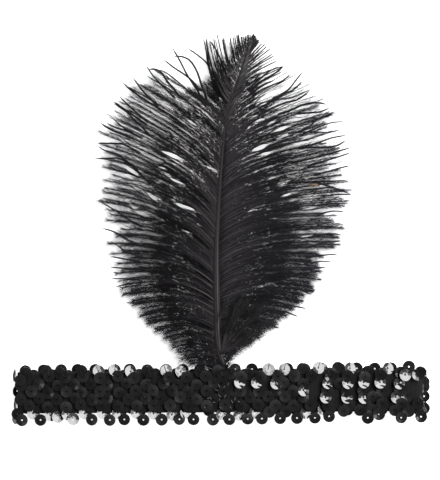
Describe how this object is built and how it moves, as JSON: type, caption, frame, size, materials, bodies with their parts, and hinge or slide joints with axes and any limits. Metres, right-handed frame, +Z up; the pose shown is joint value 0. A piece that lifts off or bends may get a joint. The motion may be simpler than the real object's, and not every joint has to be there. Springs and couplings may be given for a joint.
{
  "type": "flapper feather headband",
  "caption": "Stretch headband covered with cup sequins, lying flattened, with an upright ostrich plume tucked behind its front.",
  "frame": {"origin": "centre of the footprint, on the surface that the headband lies on", "axes": "+X along the flattened band, +Y from the band towards the plume's tip, +Z up out of the front layer"},
  "size_m": [0.216, 0.2024, 0.0142],
  "materials": {
    "sequins": "glossy black cup sequins",
    "elastic": "matt black ribbed elastic and thread",
    "quill": "dyed quill, dark brown-grey, half matt",
    "barbs": "soft black ostrich barbs",
    "down": "loose black down"
  },
  "bodies": {
    "root": {"sequin_band": "sequins", "feather_shaft": "quill", "vane_left": "barbs", "vane_right": "barbs", "down_tuft": "down"}
  },
  "joints": []
}
